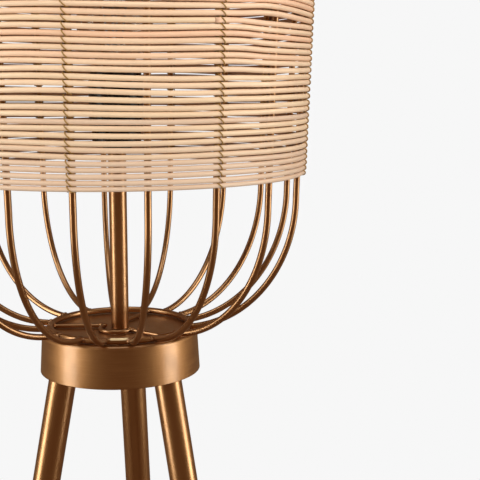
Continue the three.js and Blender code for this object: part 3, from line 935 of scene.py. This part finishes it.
def make_bulb():
    low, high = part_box("bulb_cap")
    bottom = low.z - COLLAR_TOP
    top = high.z - COLLAR_TOP
    corners = [(0.3 * MM, bottom, 0), (9.0 * MM, bottom, 0.4 * MM), (CAP_ROOT, bottom + 2.5 * MM, 0.6 * MM)]
    for ridge in range(CAP_RIDGES):
        height = bottom + (4.0 + 3.4 * ridge) * MM
        corners += [(CAP_ROOT, height, 0.9 * MM), (CAP_CREST, height + 1.7 * MM, 0.9 * MM)]
    corners += [
        (12.4 * MM, top - 1.6 * MM, 0.6 * MM), (CAP_RIM, top - 0.8 * MM, 0.3 * MM),
        (CAP_RIM, top, 0.3 * MM), (12.5 * MM, top, 0.2 * MM), (12.5 * MM, top - 0.8 * MM, 0.2 * MM),
        (11.9 * MM, bottom + 3 * MM, 0.5 * MM), (8.8 * MM, bottom + 0.5 * MM, 0.4 * MM),
        (0.3 * MM, bottom + 0.5 * MM, 0),
    ]
    turned("bulb_screw_cap", corners, "nickel", ("bulb_cap",), "bulb", loop=False)

    low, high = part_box("bulb_glass")
    ball = (high.x - low.x) / 2
    centre = high.z - COLLAR_TOP - ball
    neck_bottom = low.z - COLLAR_TOP

    def skin(shrink):
        """The glass from its neck up to its crown, moved inwards."""
        radius = ball - shrink
        neck = GLASS_NECK - shrink
        line = [(neck, neck_bottom), (neck, neck_bottom + GLASS_NECK_LENGTH)]
        for step in range(GLASS_STEPS):
            turn = GLASS_SHOULDER * (1 - step / GLASS_STEPS)
            line.append((radius * math.sin(turn), centre + radius * math.cos(turn)))
        return line + [(CENTRE_GAP, centre + radius)]

    shape = Shape()
    outline = [Vector(point) for point in skin(0) + skin(GLASS_WALL)[::-1]]
    lathe(shape, outline, AXIS + UP * COLLAR_TOP, TURNED_SIDES)
    shape.piece("bulb_envelope", "clear_glass", "bulb", "clear_glass", ("bulb_glass",), sharp=60)

    tip_low, tip_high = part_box("bulb_tip")
    tip_radius = (tip_high.x - tip_low.x) / 2
    bottom = tip_low.z - COLLAR_TOP
    top = tip_high.z - COLLAR_TOP
    turned("bulb_contact", (
        (CENTRE_GAP, bottom, 0), (tip_radius * 0.75, bottom, 0.8 * MM),
        (tip_radius, bottom + 1.3 * MM, 0.6 * MM), (tip_radius, top, 0.3 * MM), (CENTRE_GAP, top, 0),
    ), "nickel", ("bulb_tip",), "bulb_end", TIP_SIDES, loop=False)


# ---------------------------------------------------------------- pieces that keep their CAD shape

CAD_LOOKS = {
    "cable_grommet": "black_rubber", "leg_plate": "plain_steel", "stem_washer": "plain_steel",
    "stem_nut": "plain_steel", "stem_nipple": "plain_steel", "holder_nipple": "plain_steel",
    "contact_block": "ceramic", "contact_shell": "nickel", "centre_contact": "nickel",
    "bulb_mount": "clear_glass", "bulb_filament": "filament", "inner_lead": "lead_sheath",
}
for leg in (1, 2, 3):
    CAD_LOOKS.update({f"leg_{piece}_{leg}": "plain_steel" for piece in ("insert", "stud", "socket")})


def dress_cad():
    for node, look in CAD_LOOKS.items():
        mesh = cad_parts[node].data
        mesh.materials.clear()
        mesh.materials.append(looks[look])


# ---------------------------------------------------------------- studio

PALE = 0.93
DIM = (0.17, 0.105, 0.06)
COOL = (0.91, 1.0, 0.96)
AMBIENT = 0.45
FLOOR_RADIUS = 2.6
FLOOR_SEGMENTS = 128
# distances from the middle between which the floor fades into the backdrop, in metres
FLOOR_FADE = (0.35, 1.5)


def area_light(name, angle, distance, height, size, radiance, target_height, reflected):
    """A softbox aimed at the lamp's axis. A reflected one only makes highlights, and the others
    only light matt surfaces; its radiance is what a mirror would show."""
    data = bpy.data.lights.new(name, "AREA")
    data.shape = "RECTANGLE"
    data.size, data.size_y = size
    data.energy = radiance * math.pi * size[0] * size[1]
    light = bpy.data.objects.new(name, data)
    bpy.context.scene.collection.objects.link(light)
    light.location = AXIS + bearing(CAMERA_BEARING + math.radians(angle)) * distance + UP * height
    light.visible_camera = False
    if reflected:
        data.color = COOL
    light.visible_glossy = reflected
    light.visible_diffuse = not reflected
    target = AXIS + UP * target_height
    light.rotation_mode = "QUATERNION"
    light.rotation_quaternion = (target - light.location).to_track_quat("-Z", "Y")


def make_studio():
    area_light("left_softbox", -76, 2.1, 1.5, (0.8, 2.4), 6.0, 1.5, True)
    area_light("right_softbox", 76, 2.1, 1.5, (0.8, 2.4), 5.4, 1.5, True)
    area_light("top_softbox", 0, 0.3, 3.3, (2.0, 1.2), 2.2, 1.1, True)
    for side in (-75, 0, 75):
        area_light(f"key_{side}", side, 1.5, 1.65, (1.0, 1.0), 3.75, 1.2, False)

    world = bpy.data.worlds.new("studio")
    bpy.context.scene.world = world
    world.use_nodes = True
    nodes = world.node_tree.nodes
    links = world.node_tree.links
    rays = nodes.new("ShaderNodeLightPath")
    output = nodes["World Output"]
    ambient = nodes["Background"]
    ambient.inputs["Color"].default_value = (1.0, 0.99, 0.97, 1)
    ambient.inputs["Strength"].default_value = AMBIENT
    dim = nodes.new("ShaderNodeBackground")
    dim.inputs["Color"].default_value = (*DIM, 1)
    dim.inputs["Strength"].default_value = 1.0
    pale = nodes.new("ShaderNodeBackground")
    pale.inputs["Color"].default_value = (PALE, PALE, PALE, 1)
    pale.inputs["Strength"].default_value = 1.0
    first = nodes.new("ShaderNodeMixShader")
    second = nodes.new("ShaderNodeMixShader")
    links.new(rays.outputs["Is Glossy Ray"], first.inputs[0])
    links.new(ambient.outputs[0], first.inputs[1])
    links.new(dim.outputs[0], first.inputs[2])
    links.new(rays.outputs["Is Camera Ray"], second.inputs[0])
    links.new(first.outputs[0], second.inputs[1])
    links.new(pale.outputs[0], second.inputs[2])
    links.new(second.outputs[0], output.inputs["Surface"])
    world.cycles.sampling_method = "NONE"

    mesh = bpy.data.meshes.new("floor")
    tidy = bmesh.new()
    bmesh.ops.create_circle(tidy, cap_ends=True, radius=FLOOR_RADIUS, segments=FLOOR_SEGMENTS)
    tidy.to_mesh(mesh)
    tidy.free()
    floor = bpy.data.objects.new("floor", mesh)
    bpy.context.scene.collection.objects.link(floor)
    look = Look("pale_floor", Roughness=0.9, Specular_IOR_Level=0.1)
    look.paint("Base Color", (0.80, 0.80, 0.80, 1))
    tree = look.tree
    glow = tree.nodes.new("ShaderNodeEmission")
    glow.inputs["Color"].default_value = (PALE, PALE, PALE, 1)
    away = tree.nodes.new("ShaderNodeVectorMath")
    away.operation = "LENGTH"
    tree.links.new(look.object_place(), away.inputs[0])
    fade = look.spread(away.outputs["Value"], 0.0, 1.0, *FLOOR_FADE)
    rays = tree.nodes.new("ShaderNodeLightPath")
    seen = look.math("MULTIPLY", fade, rays.outputs["Is Camera Ray"])
    blend = tree.nodes.new("ShaderNodeMixShader")
    tree.links.new(seen, blend.inputs[0])
    tree.links.new(look.shader.outputs[0], blend.inputs[1])
    tree.links.new(glow.outputs[0], blend.inputs[2])
    # the lamp's metal reflects a dark floor, so that its shape reads against the pale one
    shadow = tree.nodes.new("ShaderNodeEmission")
    shadow.inputs["Color"].default_value = (*DIM, 1)
    mirrored = tree.nodes.new("ShaderNodeMixShader")
    tree.links.new(rays.outputs["Is Glossy Ray"], mirrored.inputs[0])
    tree.links.new(blend.outputs[0], mirrored.inputs[1])
    tree.links.new(shadow.outputs[0], mirrored.inputs[2])
    tree.links.new(mirrored.outputs[0], tree.nodes["Material Output"].inputs["Surface"])
    mesh.materials.append(look.material)
    bpy.context.scene.view_settings.view_transform = "Standard"


make_collar()
for leg in (1, 2, 3):
    make_leg(leg)
make_stem()
make_holder()
make_wires()
make_hoops()
make_hub()
make_welds()
cane_sizes, cane_steps = cane_heights()
make_canes(cane_sizes, cane_steps)
make_thread(cane_sizes, cane_steps)
make_bulb()
dress_cad()
make_studio()
